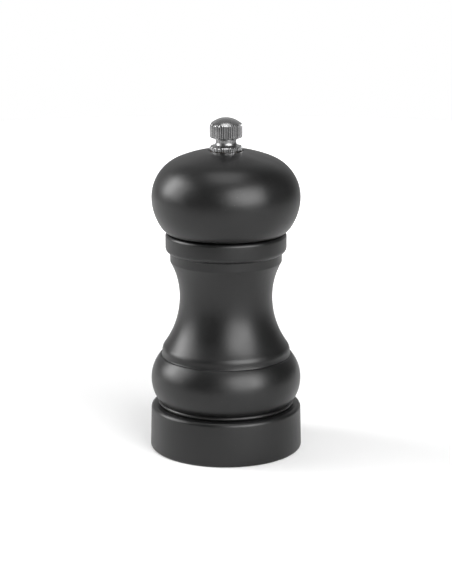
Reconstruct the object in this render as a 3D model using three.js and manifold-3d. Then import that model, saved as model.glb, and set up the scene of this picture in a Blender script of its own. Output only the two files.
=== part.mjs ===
// A table pepper mill: a turned wooden body and head around a steel burr grinder.
// The head turns a square spindle through its drive plate, and the spindle turns the
// rotor inside the stator. The thumb nut on the spindle's threaded end rests on the head,
// so that tightening it draws the rotor up into the stator against the spring.
//
// Millimetres, +Z up, the axis on Z and the origin at the centre of the base's underside.

import * as THREE from 'three';
import { mergeVertices } from 'three/addons/utils/BufferGeometryUtils.js';
import Module from 'manifold-3d';

const wasm = await Module();
wasm.setup();

// ---- Clearances ----
const seatGap = 0.3;          // between two pieces that rest on each other
const runningFit = 0.4;       // between a turning piece and the bore around it
const pilotGap = 0.3;         // between a screw's shank and its hole

// ---- Outside of the body, from the table upwards ----
const baseRadius = 29.3;
const footRound = 2.9;
const bandTaper = 0.35;
const bandHeight = 17.3;
const bandTopRound = 1.7;
const grooveDepth = 3.2;
const grooveHeight = 1.25;
const bulgeInset = 0.45;
const bulgeRound = 14.3;
const bulgeBelowWidest = 8.95;
const bulgeAboveWidest = 9.35;
const ridgeInset = 4.25;
const ridgeStep = 1.6;
const ridgeRoll = 4.2;
const waistRadius = 17.8;
const lowerWaistHeight = 21.3;
const upperWaistHeight = 14;
const neckRadius = 21.4;
const neckHeight = 3.4;
const collarOverhang = 1.75;
const collarUnderRound = 2.1;
const collarTopRound = 1.1;
const collarHeight = 7.6;

// ---- Head ----
const headGap = 0.6;
const headLowerRound = 19.8;
const headLowerHeight = 13.15;
const headSideRound = 15.9;
const headOverhang = 5.15;
const headDomeRound = 47.8;
const headCrownRound = 22;
const headCrownRadius = 10.5;
const headEdgeRound = 1.4;
const spotFaceDepth = 0.3;
const spotFaceMargin = 0.45;
const spigotLength = 8.3;
const spigotChamfer = 0.5;

// ---- Bores of the body ----
const waistWall = 5.3;
const mouthStep = 1.8;
const mouthFloorGap = 1;
const recessDepth = 5.5;

// ---- Glide ring in the mouth ----
const glideRingWidth = 1.9;
const glideRingHeight = 1.9;

// ---- Grinder ----
const spindleSide = 5;
const housingRadius = 16.7;
const housingWall = 2.4;
const housingPlate = 2.5;
const hubWall = 2;
const spokeWidth = 3;
const windowMargin = 0.7;
const burrHeight = 10;
const rotorBottomRadius = 10.2;
const rotorTopRadius = 5.6;
const rotorTeeth = 12;
const rotorToothDepth = 0.7;
const statorTeeth = 18;
const statorToothDepth = 0.6;
const finestGap = 0.3;
const adjustTravel = 1.6;
const burrTwist = 0.16;
const rotorRise = 1.8;
const washerThickness = 0.8;
const washerWall = 1.6;
const springLength = 7.5;
const springWire = 0.9;
const springTurns = 4;

// ---- Crossbar under the grinder ----
const crossbarThickness = 1.5;
const crossbarWidth = 12;
const crossbarEndGap = 0.6;
const crossbarScrewInset = 2.4;
const crossbarScrewWood = 1.1;
const crossbarScrewShank = 1.2;
const crossbarScrewLength = 11.5;
const crossbarScrewHead = 2.6;
const bushingWall = 1.6;
const bushingFlange = 1;
const tailRadius = 2.2;
const circlipWidth = 1.2;
const circlipThickness = 0.8;

// ---- Drive plate in the head ----
const drivePlateMargin = 2.1;
const drivePlateThickness = 1.2;
const driveScrewShank = 1;
const driveScrewLength = 7;
const driveScrewHead = 2;
const screwHeadHeight = 0.9;

// ---- Top of the spindle, and what is on it ----
const threadRadius = 2.35;
const threadLength = 10.5;
const spindleTopBelowNutTop = 5.3;
const ferruleWall = 0.7;
const ferruleLength = 10;
const nutWasherThickness = 0.5;
const nutWasherWidth = 2.7;
const nutRadius = 6.2;
const nutFlangeHeight = 1.75;
const nutNeckRadius = 3.9;
const nutNeckHeight = 3.45;
const nutDrumHeight = 4.4;
const nutDomeHeight = 2.9;
const nutEdge = 0.35;
const nutFillet = 1.4;
const nutBoreSpare = 0.5;

const roundSegments = 36;
const smallSegments = 28;
const arcSag = 0.05;
const mergeDistance = 1e-4;

// ---- Levels worked out from the sizes above ----
const bandTop = bandHeight;
const bulgeBottom = bandTop + grooveHeight;
const bulgeWidest = bulgeBottom + bulgeBelowWidest;
const bulgeTop = bulgeWidest + bulgeAboveWidest;
const rollStart = bulgeTop + ridgeStep;
const waistLevel = rollStart + lowerWaistHeight;
const neckBottom = waistLevel + upperWaistHeight;
const collarBottom = neckBottom + neckHeight;
const collarTop = collarBottom + collarHeight;
const headBottom = collarTop + headGap;
const headWidest = headBottom + headLowerHeight;
const collarRadius = neckRadius + collarOverhang;
const headRadius = collarRadius + headOverhang;
const bulgeRadius = baseRadius - bulgeInset;
const ridgeRadius = bulgeRadius - ridgeInset;

const chamberRadius = waistRadius - waistWall;
const mouthRadius = chamberRadius + mouthStep;
const glideRingOuter = mouthRadius + glideRingWidth;
const glideRingTop = headBottom - seatGap;
const glideRingBottom = glideRingTop - glideRingHeight;
const spigotRadius = mouthRadius - runningFit;
const spigotBottom = headBottom - spigotLength;
const mouthFloor = spigotBottom - mouthFloorGap;

const spindleHalf = spindleSide / 2;
const spindleCorner = spindleHalf * Math.SQRT2;
const spindleHole = spindleCorner + runningFit;

const crossbarTop = recessDepth - seatGap;
const crossbarBottom = crossbarTop - crossbarThickness;
const bushingHole = tailRadius + runningFit;
const bushingOuter = bushingHole + bushingWall;
const bushingBottom = crossbarBottom - seatGap - bushingFlange;
const tailBottom = bushingBottom + seatGap;

const rotorBottom = recessDepth + rotorRise;
const rotorTop = rotorBottom + burrHeight;
const rotorWasherBottom = rotorTop + seatGap;
const springBottom = rotorWasherBottom + washerThickness + seatGap;
const springTop = springBottom + springLength;
const thrustWasherBottom = springTop + seatGap;
const housingCeiling = thrustWasherBottom + washerThickness + seatGap;
const housingTop = housingCeiling + housingPlate;
const counterboreTop = housingTop + seatGap;
const counterboreRadius = housingRadius + seatGap;
const crossbarScrewPlace = counterboreRadius + crossbarScrewWood + crossbarScrewShank + pilotGap;
const crossbarHalfLength = crossbarScrewPlace + crossbarScrewInset;
const recessRadius = crossbarHalfLength + crossbarEndGap;
const housingInner = housingRadius - housingWall;
const statorRadius = housingInner - seatGap;
const hubRadius = spindleHole + hubWall;
const burrSlope = (rotorBottomRadius - rotorTopRadius) / burrHeight;
const burrGap = burrSlope * adjustTravel + finestGap;
const washerRadius = spindleHole + washerWall;

const drivePlateRadius = spigotRadius - drivePlateMargin;
const drivePlateHole = spindleHalf + runningFit;
const drivePlateTop = spigotBottom + drivePlateThickness;
const driveRecessTop = drivePlateTop + seatGap;
const driveScrewPlace = (drivePlateHole * Math.SQRT2 + drivePlateRadius) / 2;

const boreRadius = spindleCorner + runningFit + seatGap;
const ferruleOuter = spindleHole + ferruleWall;
const sideCentre = headRadius - headSideRound;
const domeToSide = headDomeRound - headSideRound;
const domeCentre = headWidest - Math.sqrt(domeToSide ** 2 - sideCentre ** 2);
const domeStart = Math.atan2(headWidest - domeCentre, sideCentre);
const crownStart = Math.acos(headCrownRadius / headDomeRound);
const crownCentreRadius = headCrownRadius - headCrownRound * Math.cos(crownStart);
const crownCentreLevel = domeCentre + (headDomeRound - headCrownRound) * Math.sin(crownStart);
const spotFaceRadius = nutRadius + spotFaceMargin;
const crownEnd = Math.acos((spotFaceRadius - crownCentreRadius) / headCrownRound);
const spotFace = crownCentreLevel + headCrownRound * Math.sin(crownEnd) - spotFaceDepth;
const nutBottom = spotFace + seatGap;
const nutWasherTop = nutBottom - seatGap;
const nutWasherBottom = nutWasherTop - nutWasherThickness;
const washerRecessFloor = nutWasherBottom - seatGap;
const ferruleTop = washerRecessFloor;
const nutFlangeTop = nutBottom + nutFlangeHeight;
const nutDrumBottom = nutFlangeTop + nutNeckHeight;
const nutDrumTop = nutDrumBottom + nutDrumHeight;
const nutTop = nutDrumTop + nutDomeHeight;
const spindleTop = nutTop - spindleTopBelowNutTop;
const squareTop = spindleTop - threadLength;
const nutHole = threadRadius + seatGap;
const nutHoleTop = spindleTop + adjustTravel + nutBoreSpare;
const nutWasherOuter = nutHole + nutWasherWidth;

// ---- Materials ----
const looks = {
  blackLacquer: { color: 0x0b0b0b, roughness: 0.38, metalness: 0 },
  chrome: { color: 0xd8d8da, roughness: 0.12, metalness: 1 },
  steel: { color: 0x9a9c9f, roughness: 0.35, metalness: 1 },
  darkSteel: { color: 0x4a4c50, roughness: 0.45, metalness: 1 },
  brass: { color: 0xb08d4a, roughness: 0.35, metalness: 1 },
  blackNylon: { color: 0x151515, roughness: 0.55, metalness: 0 },
};

// ---- Shapes ----
function point(radius, level) {
  return new THREE.Vector2(radius, level);
}

// Points of an arc in the radius and height plane, with the angles in radians.
// The steps are as few as keep each chord within arcSag of the true arc.
function arc(centreRadius, centreLevel, radius, from, to) {
  const stepAngle = 2 * Math.acos(1 - arcSag / radius);
  const steps = Math.max(2, Math.ceil(Math.abs(to - from) / stepAngle));
  const points = [];
  for (let i = 0; i <= steps; i += 1) {
    const angle = from + ((to - from) * i) / steps;
    points.push(point(centreRadius + radius * Math.cos(angle), centreLevel + radius * Math.sin(angle)));
  }
  return points;
}

// A profile that closes on itself, turned about Z.
function turned(profile, segments = roundSegments) {
  const geometry = new THREE.LatheGeometry([...profile, profile[0].clone()], segments);
  geometry.rotateX(Math.PI / 2);
  return geometry;
}

function ring(inner, outer, bottom, top, segments = smallSegments) {
  const profile = [point(inner, bottom), point(outer, bottom), point(outer, top), point(inner, top)];
  return turned(profile, segments);
}

function rod(radius, bottom, top, segments = smallSegments) {
  const geometry = new THREE.CylinderGeometry(radius, radius, top - bottom, segments);
  geometry.rotateX(Math.PI / 2);
  geometry.translate(0, 0, (bottom + top) / 2);
  return geometry;
}

function block(width, depth, bottom, top) {
  const geometry = new THREE.BoxGeometry(width, depth, top - bottom);
  geometry.translate(0, 0, (bottom + top) / 2);
  return geometry;
}

function at(geometry, x, y) {
  geometry.translate(x, y, 0);
  return geometry;
}

// A cone whose side carries slanting teeth: each vertex on the side is drawn in by a saw tooth.
function toothedCone(bottomRadius, topRadius, bottom, top, teeth, depth, twist) {
  const stepsPerTooth = 4;
  const geometry = new THREE.CylinderGeometry(topRadius, bottomRadius, top - bottom, teeth * stepsPerTooth, 5);
  geometry.rotateX(Math.PI / 2);
  geometry.translate(0, 0, (bottom + top) / 2);
  const position = geometry.attributes.position;
  for (let i = 0; i < position.count; i += 1) {
    const x = position.getX(i);
    const y = position.getY(i);
    const radius = Math.hypot(x, y);
    if (radius > mergeDistance) {
      const turn = Math.atan2(y, x) / (2 * Math.PI) + 1;
      const place = Math.round(turn * teeth * stepsPerTooth) % stepsPerTooth;
      const shrink = (radius - (depth * place) / (stepsPerTooth - 1)) / radius;
      const angle = twist * (position.getZ(i) - bottom);
      const newX = x * shrink * Math.cos(angle) - y * shrink * Math.sin(angle);
      const newY = x * shrink * Math.sin(angle) + y * shrink * Math.cos(angle);
      position.setXY(i, newX, newY);
    }
  }
  return geometry;
}

// ---- Solids ----
function toSolid(geometry) {
  const bare = geometry.clone();
  bare.deleteAttribute('normal');
  bare.deleteAttribute('uv');
  const merged = mergeVertices(bare, mergeDistance);
  const index = Array.from(merged.index.array);
  const triangles = [];
  for (let i = 0; i < index.length; i += 3) {
    const [a, b, c] = index.slice(i, i + 3);
    if (a !== b && b !== c && c !== a) {
      triangles.push(a, b, c);
    }
  }
  const mesh = new wasm.Mesh({
    numProp: 3,
    vertProperties: new Float32Array(merged.attributes.position.array),
    triVerts: new Uint32Array(triangles),
  });
  return new wasm.Manifold(mesh);
}

function toGeometry(solid) {
  const mesh = solid.getMesh();
  const geometry = new THREE.BufferGeometry();
  geometry.setAttribute('position', new THREE.BufferAttribute(new Float32Array(mesh.vertProperties), 3));
  geometry.setIndex(new THREE.BufferAttribute(new Uint32Array(mesh.triVerts), 1));
  return geometry;
}

function cut(geometry, ...tools) {
  let solid = toSolid(geometry);
  for (const tool of tools) {
    solid = solid.subtract(toSolid(tool));
  }
  return toGeometry(solid);
}

function joined(...geometries) {
  let solid = toSolid(geometries[0]);
  for (const geometry of geometries.slice(1)) {
    solid = solid.add(toSolid(geometry));
  }
  return toGeometry(solid);
}

const mill = new THREE.Group();

function place(name, geometry, look) {
  const solid = toSolid(geometry);
  const shaped = toGeometry(solid);
  shaped.computeVertexNormals();
  const mesh = new THREE.Mesh(shaped, new THREE.MeshStandardMaterial(look));
  mesh.name = name;
  mill.add(mesh);
}

// ---- Body ----
// The outline runs up the outside: foot, band, groove, bulge, ridge, waist, neck and collar.
function bodyOutline() {
  const bandRadius = baseRadius - bandTaper;
  const bulgeCentre = bulgeRadius - bulgeRound;
  const bulgeFrom = -Math.asin(bulgeBelowWidest / bulgeRound);
  const bulgeTo = Math.asin(bulgeAboveWidest / bulgeRound);

  // The roll and the waist meet where both have the same slope.
  const rollCentre = ridgeRadius - ridgeRoll;
  const lowerDrop = rollCentre - waistRadius;
  const lowerRound = (lowerWaistHeight ** 2 + lowerDrop ** 2 - ridgeRoll ** 2) / (2 * (ridgeRoll + lowerDrop));
  const lowerCentre = waistRadius + lowerRound;
  const rollEnd = Math.atan2(lowerWaistHeight, lowerCentre - rollCentre);

  const upperDrop = neckRadius - waistRadius;
  const upperRound = (upperWaistHeight ** 2 + upperDrop ** 2) / (2 * upperDrop);
  const upperCentre = waistRadius + upperRound;
  const upperEnd = Math.PI - Math.atan2(upperWaistHeight, upperCentre - neckRadius);

  const underFrom = -Math.acos(1 - collarOverhang / collarUnderRound);
  const underCentre = collarBottom - collarUnderRound * Math.sin(underFrom);

  return [
    ...arc(baseRadius - footRound, footRound, footRound, -Math.PI / 2, 0),
    ...arc(bandRadius - bandTopRound, bandTop - bandTopRound, bandTopRound, 0, Math.PI / 2),
    point(baseRadius - grooveDepth, bandTop),
    point(baseRadius - grooveDepth, bulgeBottom),
    ...arc(bulgeCentre, bulgeWidest, bulgeRound, bulgeFrom, bulgeTo),
    point(ridgeRadius, bulgeTop),
    ...arc(rollCentre, rollStart, ridgeRoll, 0, rollEnd),
    ...arc(lowerCentre, waistLevel, lowerRound, Math.PI + rollEnd, Math.PI).slice(1),
    ...arc(upperCentre, waistLevel, upperRound, Math.PI, upperEnd).slice(1),
    ...arc(collarRadius - collarUnderRound, underCentre, collarUnderRound, underFrom, 0),
    ...arc(collarRadius - collarTopRound, collarTop - collarTopRound, collarTopRound, 0, Math.PI / 2),
  ];
}

function bodyPiece() {
  const seatRadius = glideRingOuter + seatGap;
  const seatLevel = glideRingBottom - seatGap;
  const profile = [
    ...bodyOutline(),
    point(seatRadius, collarTop),
    point(seatRadius, seatLevel),
    point(mouthRadius, seatLevel),
    point(mouthRadius, mouthFloor),
    point(chamberRadius, mouthFloor),
    point(chamberRadius, counterboreTop),
    point(counterboreRadius, counterboreTop),
    point(counterboreRadius, recessDepth),
    point(recessRadius, recessDepth),
    point(recessRadius, 0),
  ];
  const pilotTop = crossbarBottom + crossbarScrewLength + pilotGap;
  const pilots = [-1, 1].map((side) => {
    const pilot = rod(crossbarScrewShank + pilotGap, recessDepth - 1, pilotTop, 12);
    return at(pilot, side * crossbarScrewPlace, 0);
  });
  return cut(turned(profile), ...pilots);
}

place('body', bodyPiece(), looks.blackLacquer);
place('glide_ring', ring(mouthRadius, glideRingOuter, glideRingBottom, glideRingTop), looks.blackNylon);

// ---- Head ----
function headPiece() {
  const lowerCentre = headRadius - headLowerRound;
  const lowerEdge = headBottom + headEdgeRound;
  const lowerFrom = -Math.asin((headWidest - lowerEdge) / headLowerRound);
  const lowerStart = lowerCentre + headLowerRound * Math.cos(lowerFrom);
  const ferruleBore = ferruleOuter + seatGap;
  const profile = [
    point(boreRadius, driveRecessTop),
    point(drivePlateRadius + seatGap, driveRecessTop),
    point(drivePlateRadius + seatGap, spigotBottom),
    point(spigotRadius - spigotChamfer, spigotBottom),
    point(spigotRadius, spigotBottom + spigotChamfer),
    point(spigotRadius, headBottom),
    point(lowerStart - headEdgeRound, headBottom),
    ...arc(lowerCentre, headWidest, headLowerRound, lowerFrom, 0),
    ...arc(sideCentre, headWidest, headSideRound, 0, domeStart).slice(1),
    ...arc(0, domeCentre, headDomeRound, domeStart, crownStart).slice(1),
    ...arc(crownCentreRadius, crownCentreLevel, headCrownRound, crownStart, crownEnd).slice(1),
    point(spotFaceRadius, spotFace),
    point(nutWasherOuter + seatGap, spotFace),
    point(nutWasherOuter + seatGap, washerRecessFloor),
    point(ferruleBore, washerRecessFloor),
    point(ferruleBore, ferruleTop - ferruleLength - seatGap),
    point(boreRadius, ferruleTop - ferruleLength - seatGap),
  ];
  const pilotTop = spigotBottom + driveScrewLength + pilotGap;
  const pilots = [-1, 1].map((side) => {
    const pilot = rod(driveScrewShank + pilotGap, driveRecessTop - 1, pilotTop, 12);
    return at(pilot, side * driveScrewPlace, 0);
  });
  return cut(turned(profile), ...pilots);
}

place('head', headPiece(), looks.blackLacquer);
place('head_ferrule', ring(spindleHole, ferruleOuter, ferruleTop - ferruleLength, ferruleTop), looks.brass);

// ---- Drive plate ----
function screw(shank, headRadius, headBottomLevel, tip) {
  const headTop = headBottomLevel + screwHeadHeight;
  const profile = [
    point(0, headBottomLevel),
    point(headRadius * 0.7, headBottomLevel),
    point(headRadius, headBottomLevel + screwHeadHeight * 0.6),
    point(headRadius, headTop),
    point(shank, headTop),
    point(shank, tip - shank),
    point(0, tip),
  ];
  return turned(profile, 12);
}

function drivePlatePiece() {
  const plate = rod(drivePlateRadius, spigotBottom, drivePlateTop);
  const square = block(2 * drivePlateHole, 2 * drivePlateHole, spigotBottom - 1, drivePlateTop + 1);
  const holes = [-1, 1].map((side) => {
    const hole = rod(driveScrewShank + pilotGap, spigotBottom - 1, drivePlateTop + 1, 12);
    return at(hole, side * driveScrewPlace, 0);
  });
  return cut(plate, square, ...holes);
}

place('drive_plate', drivePlatePiece(), looks.steel);
[-1, 1].forEach((side, i) => {
  const headBottomLevel = spigotBottom - seatGap - screwHeadHeight;
  const tip = spigotBottom + driveScrewLength;
  const geometry = at(screw(driveScrewShank, driveScrewHead, headBottomLevel, tip), side * driveScrewPlace, 0);
  place(`drive_plate_screw_${i + 1}`, geometry, looks.steel);
});

// ---- Grinder housing, with a spoked plate that the peppercorns fall through ----
function housingPiece() {
  const profile = [
    point(housingInner, recessDepth),
    point(housingRadius, recessDepth),
    point(housingRadius, housingTop),
    point(spindleHole, housingTop),
    point(spindleHole, housingCeiling),
    point(housingInner, housingCeiling),
  ];
  const windowRadius = chamberRadius - windowMargin;
  const below = housingCeiling - 1;
  const above = housingTop + 1;
  const spokes = [0, 1, 2].map((i) => {
    const spoke = at(block(windowRadius + 2, spokeWidth, below - 1, above + 1), windowRadius / 2 + 1, 0);
    spoke.rotateZ(Math.PI / 2 + (i * 2 * Math.PI) / 3);
    return spoke;
  });
  const windows = cut(ring(hubRadius, windowRadius, below, above), ...spokes);
  return cut(turned(profile), windows);
}

place('grinder_housing', housingPiece(), looks.steel);

// ---- Burrs ----
// The stator's cone is the rotor's, wider by the gap that the rotor's travel uses up.
function statorPiece() {
  const bottom = recessDepth;
  const top = rotorTop;
  const overrun = 1;
  const widening = burrGap + statorToothDepth;
  const bottomRadius = rotorBottomRadius + burrSlope * (rotorBottom - bottom + overrun) + widening;
  const topRadius = rotorTopRadius - burrSlope * overrun + widening;
  const cone = toothedCone(
    bottomRadius, topRadius, bottom - overrun, top + overrun, statorTeeth, statorToothDepth, -burrTwist / 2,
  );
  return cut(rod(statorRadius, bottom, top), cone);
}

function rotorPiece() {
  const cone = toothedCone(
    rotorBottomRadius, rotorTopRadius, rotorBottom, rotorTop, rotorTeeth, rotorToothDepth, burrTwist,
  );
  const side = spindleSide + 2 * seatGap;
  return cut(cone, block(side, side, rotorBottom - 1, rotorTop + 1));
}

place('stator', statorPiece(), looks.darkSteel);
place('rotor', rotorPiece(), looks.darkSteel);

// ---- Spring and its washers ----
class Helix extends THREE.Curve {
  constructor(radius, bottom, top, turns) {
    super();
    this.radius = radius;
    this.bottom = bottom;
    this.top = top;
    this.turns = turns;
  }

  getPoint(t) {
    const angle = 2 * Math.PI * this.turns * t;
    const level = THREE.MathUtils.lerp(this.bottom, this.top, t);
    return new THREE.Vector3(this.radius * Math.cos(angle), this.radius * Math.sin(angle), level);
  }
}

function springPiece() {
  const wire = springWire / 2;
  const radius = spindleHole + wire + runningFit / 2;
  const outline = new THREE.Shape();
  outline.absarc(0, 0, wire, 0, 2 * Math.PI, false);
  return new THREE.ExtrudeGeometry(outline, {
    steps: springTurns * 14,
    curveSegments: 3,
    bevelEnabled: false,
    extrudePath: new Helix(radius, springBottom + wire, springTop - wire, springTurns),
  });
}

const rotorWasherTop = rotorWasherBottom + washerThickness;
const thrustWasherTop = thrustWasherBottom + washerThickness;
place('rotor_washer', ring(spindleHole, washerRadius, rotorWasherBottom, rotorWasherTop), looks.steel);
place('spring', springPiece(), looks.steel);
place('thrust_washer', ring(spindleHole, washerRadius, thrustWasherBottom, thrustWasherTop), looks.brass);

// ---- Crossbar, its screws and its bushing ----
function crossbarPiece() {
  const end = crossbarWidth / 2;
  const straight = crossbarHalfLength - end;
  const outline = new THREE.Shape();
  outline.absarc(straight, 0, end, -Math.PI / 2, Math.PI / 2, false);
  outline.absarc(-straight, 0, end, Math.PI / 2, (3 * Math.PI) / 2, false);
  const bar = new THREE.ExtrudeGeometry(outline, {
    depth: crossbarThickness,
    curveSegments: 10,
    bevelEnabled: false,
  });
  bar.translate(0, 0, crossbarBottom);
  const below = crossbarBottom - 1;
  const above = crossbarTop + 1;
  const holes = [-1, 1].map((side) => {
    const hole = rod(crossbarScrewShank + pilotGap, below, above, 12);
    return at(hole, side * crossbarScrewPlace, 0);
  });
  return cut(bar, rod(bushingOuter + seatGap, below, above), ...holes);
}

function bushingPiece() {
  const flangeTop = bushingBottom + bushingFlange;
  const flangeRadius = bushingOuter + bushingFlange;
  const profile = [
    point(bushingHole, bushingBottom),
    point(flangeRadius, bushingBottom),
    point(flangeRadius, flangeTop),
    point(bushingOuter, flangeTop),
    point(bushingOuter, crossbarTop),
    point(bushingHole, crossbarTop),
  ];
  return turned(profile, smallSegments);
}

place('crossbar', crossbarPiece(), looks.steel);
place('crossbar_bushing', bushingPiece(), looks.brass);
[-1, 1].forEach((side, i) => {
  const headBottomLevel = crossbarBottom - seatGap - screwHeadHeight;
  const tip = crossbarBottom + crossbarScrewLength;
  const geometry = screw(crossbarScrewShank, crossbarScrewHead, headBottomLevel, tip);
  place(`crossbar_screw_${i + 1}`, at(geometry, side * crossbarScrewPlace, 0), looks.steel);
});

// ---- Spindle: a round tail, the square length and the threaded end ----
function spindlePiece() {
  const join = 0.5;
  const tail = rod(tailRadius, tailBottom, rotorBottom + join, 20);
  const square = block(spindleSide, spindleSide, rotorBottom, squareTop);
  const threadEnd = rod(threadRadius, squareTop - join, spindleTop, 20);
  return joined(tail, square, threadEnd);
}

function circlipPiece() {
  const inner = tailRadius + seatGap;
  const top = rotorBottom - seatGap;
  return ring(inner, inner + circlipWidth, top - circlipThickness, top);
}

place('spindle', spindlePiece(), looks.steel);
place('rotor_circlip', circlipPiece(), looks.darkSteel);

// ---- Thumb nut and its washer ----
function thumbNutPiece() {
  const domeRound = (nutRadius ** 2 + nutDomeHeight ** 2) / (2 * nutDomeHeight);
  const domeEdge = Math.acos((nutRadius - nutEdge) / domeRound);
  const profile = [
    point(nutHole, nutBottom),
    point(nutRadius - nutEdge, nutBottom),
    point(nutRadius, nutBottom + nutEdge),
    point(nutRadius, nutFlangeTop - nutEdge),
    point(nutRadius - nutEdge, nutFlangeTop),
    ...arc(nutNeckRadius + nutFillet, nutFlangeTop + nutFillet, nutFillet, 1.5 * Math.PI, Math.PI),
    point(nutNeckRadius, nutDrumBottom),
    point(nutRadius - nutEdge, nutDrumBottom),
    point(nutRadius, nutDrumBottom + nutEdge),
    point(nutRadius, nutDrumTop - nutEdge),
    ...arc(0, nutTop - domeRound, domeRound, domeEdge, Math.PI / 2),
    point(0, nutHoleTop),
    point(nutHole, nutHoleTop),
  ];
  return turned(profile, smallSegments);
}

place('nut_washer', ring(nutHole, nutWasherOuter, nutWasherBottom, nutWasherTop), looks.blackNylon);
place('thumb_nut', thumbNutPiece(), looks.chrome);

export default mill;
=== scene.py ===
from math import acos, asin, atan2, ceil, cos, degrees, dist, floor, pi, radians, sin, sqrt

import bmesh
import bpy
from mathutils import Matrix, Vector


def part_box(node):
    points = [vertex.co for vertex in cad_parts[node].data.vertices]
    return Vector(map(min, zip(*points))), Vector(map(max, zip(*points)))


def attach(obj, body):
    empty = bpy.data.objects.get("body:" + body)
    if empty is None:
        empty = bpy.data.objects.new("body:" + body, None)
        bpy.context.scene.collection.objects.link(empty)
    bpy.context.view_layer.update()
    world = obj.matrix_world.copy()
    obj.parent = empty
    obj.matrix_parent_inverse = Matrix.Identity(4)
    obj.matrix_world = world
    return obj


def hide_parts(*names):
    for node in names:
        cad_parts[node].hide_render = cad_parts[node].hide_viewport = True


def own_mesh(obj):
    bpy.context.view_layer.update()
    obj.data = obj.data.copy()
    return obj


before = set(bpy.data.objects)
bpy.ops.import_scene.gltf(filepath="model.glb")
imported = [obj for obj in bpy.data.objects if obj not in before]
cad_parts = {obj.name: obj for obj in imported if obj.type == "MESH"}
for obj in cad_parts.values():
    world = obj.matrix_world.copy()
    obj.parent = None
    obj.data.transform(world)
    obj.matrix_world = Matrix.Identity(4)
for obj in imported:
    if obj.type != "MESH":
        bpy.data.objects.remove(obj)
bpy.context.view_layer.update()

mm = 0.001
tiny = 1e-6
white = (1, 1, 1, 1)
print("frame loaded:", len(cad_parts), "nodes")

# metres and degrees; glowReach and skyFade are where a change starts and ends
viewSet = {
    "distance": 0.725,
    "height": 0.2430,
    "pitch": 14.08,
    "lens": 120.04,
    "floorRadius": 0.62,
    "floorBack": 0.2,
    "floorColour": (0.82, 0.82, 0.82, 1.0),
    "glowNear": 0.19,
    "glowFar": 0.75,
    "glowReach": (0.09, 0.4),
    "skyHigh": 0.1,
    "skyLow": 0.36,
    "skyFade": (-0.12, 0.04),
    "skySeen": 1.0,
    "lightTarget": 0.065,
}

# azimuth, elevation, distance, width, height and power
# azimuth 0 is the camera's side and positive is to its right, in degrees
softboxes = {
    "leftStrip": (-104, 25, 1.1, 0.35, 0.6, 3.9),
    "leftFill": (-95, 25, 1.2, 0.9, 0.9, 8.4),
    "rightStrip": (44, 20, 1.3, 0.5, 0.5, 1.2),
    "rightFill": (35, 26, 1.3, 1.15, 1.0, 17.0),
    "frontFill": (22, 22, 1.3, 1.3, 0.9, 3.4),
    "overhead": (0, 82, 1.2, 0.75, 0.72, 4.2),
    "overheadBack": (180, 44, 1.4, 1.7, 1.1, 1.8),
    "backFill": (180, 8, 1.4, 2.6, 1.6, 4.0),
}


def newObject(name, data):
    made = bpy.data.objects.new(name, data)
    bpy.context.scene.collection.objects.link(made)
    return made


def addNode(tree, kind, values=None, **settings):
    made = tree.nodes.new("ShaderNode" + kind)
    for key, value in settings.items():
        setattr(made, key, value)
    for key, value in (values or {}).items():
        made.inputs[key].default_value = value
    return made


def join(tree, source, target):
    tree.links.new(source, target)


def mathNode(tree, operation, first, second=None, clamp=False):
    made = addNode(tree, "Math", operation=operation, use_clamp=clamp)
    for slot, value in ((0, first), (1, second)):
        if value is None:
            continue
        if isinstance(value, (int, float)):
            made.inputs[slot].default_value = value
        else:
            join(tree, value, made.inputs[slot])
    return made.outputs[0]


def add(tree, first, second):
    return mathNode(tree, "ADD", first, second)


def times(tree, first, second, clamp=False):
    return mathNode(tree, "MULTIPLY", first, second, clamp)


def remap(tree, source, low, high, fromLow=0.3, fromHigh=0.7, **settings):
    made = addNode(tree, "MapRange", {
        "From Min": fromLow, "From Max": fromHigh, "To Min": low, "To Max": high,
    }, **settings)
    join(tree, source, made.inputs["Value"])
    return made.outputs[0]


def newMaterial(name, values):
    material = bpy.data.materials.new(name)
    material.use_nodes = True
    tree = material.node_tree
    shader = tree.nodes["Principled BSDF"]
    for key, value in values.items():
        shader.inputs[key].default_value = value
    return material, tree, shader


def makeCamera():
    data = bpy.data.cameras.new("millCamera")
    data.lens = viewSet["lens"]
    data.sensor_width = 36.0
    data.clip_start = 0.01
    data.clip_end = 50.0
    camera = newObject("millCamera", data)
    camera.location = (0.0, -viewSet["distance"], viewSet["height"])
    camera.rotation_euler = (radians(90.0 - viewSet["pitch"]), 0.0, 0.0)
    bpy.context.scene.camera = camera


# a round table of white paper; a glow that lights nothing else melts its far edge into the backdrop
def makeFloor():
    mesh = bpy.data.meshes.new("studioFloor")
    work = bmesh.new()
    bmesh.ops.create_circle(work, cap_ends=True, segments=128, radius=viewSet["floorRadius"])
    work.to_mesh(mesh)
    work.free()
    table = newObject("studioFloor", mesh)
    table.location = (0.0, viewSet["floorBack"], 0.0)
    material, tree, shader = newMaterial("floorPaper", {
        "Base Color": viewSet["floorColour"], "Roughness": 0.9, "Specular IOR Level": 0.1,
        "Emission Color": white,
    })
    path = addNode(tree, "LightPath")
    spot = addNode(tree, "NewGeometry")
    away = addNode(tree, "VectorMath", operation="LENGTH")
    join(tree, spot.outputs["Position"], away.inputs[0])
    rise = remap(tree, away.outputs["Value"], viewSet["glowNear"], viewSet["glowFar"],
                 *viewSet["glowReach"], interpolation_type="SMOOTHSTEP")
    glow = times(tree, path.outputs["Is Camera Ray"], rise)
    join(tree, glow, shader.inputs["Emission Strength"])
    mesh.materials.append(material)


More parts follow.
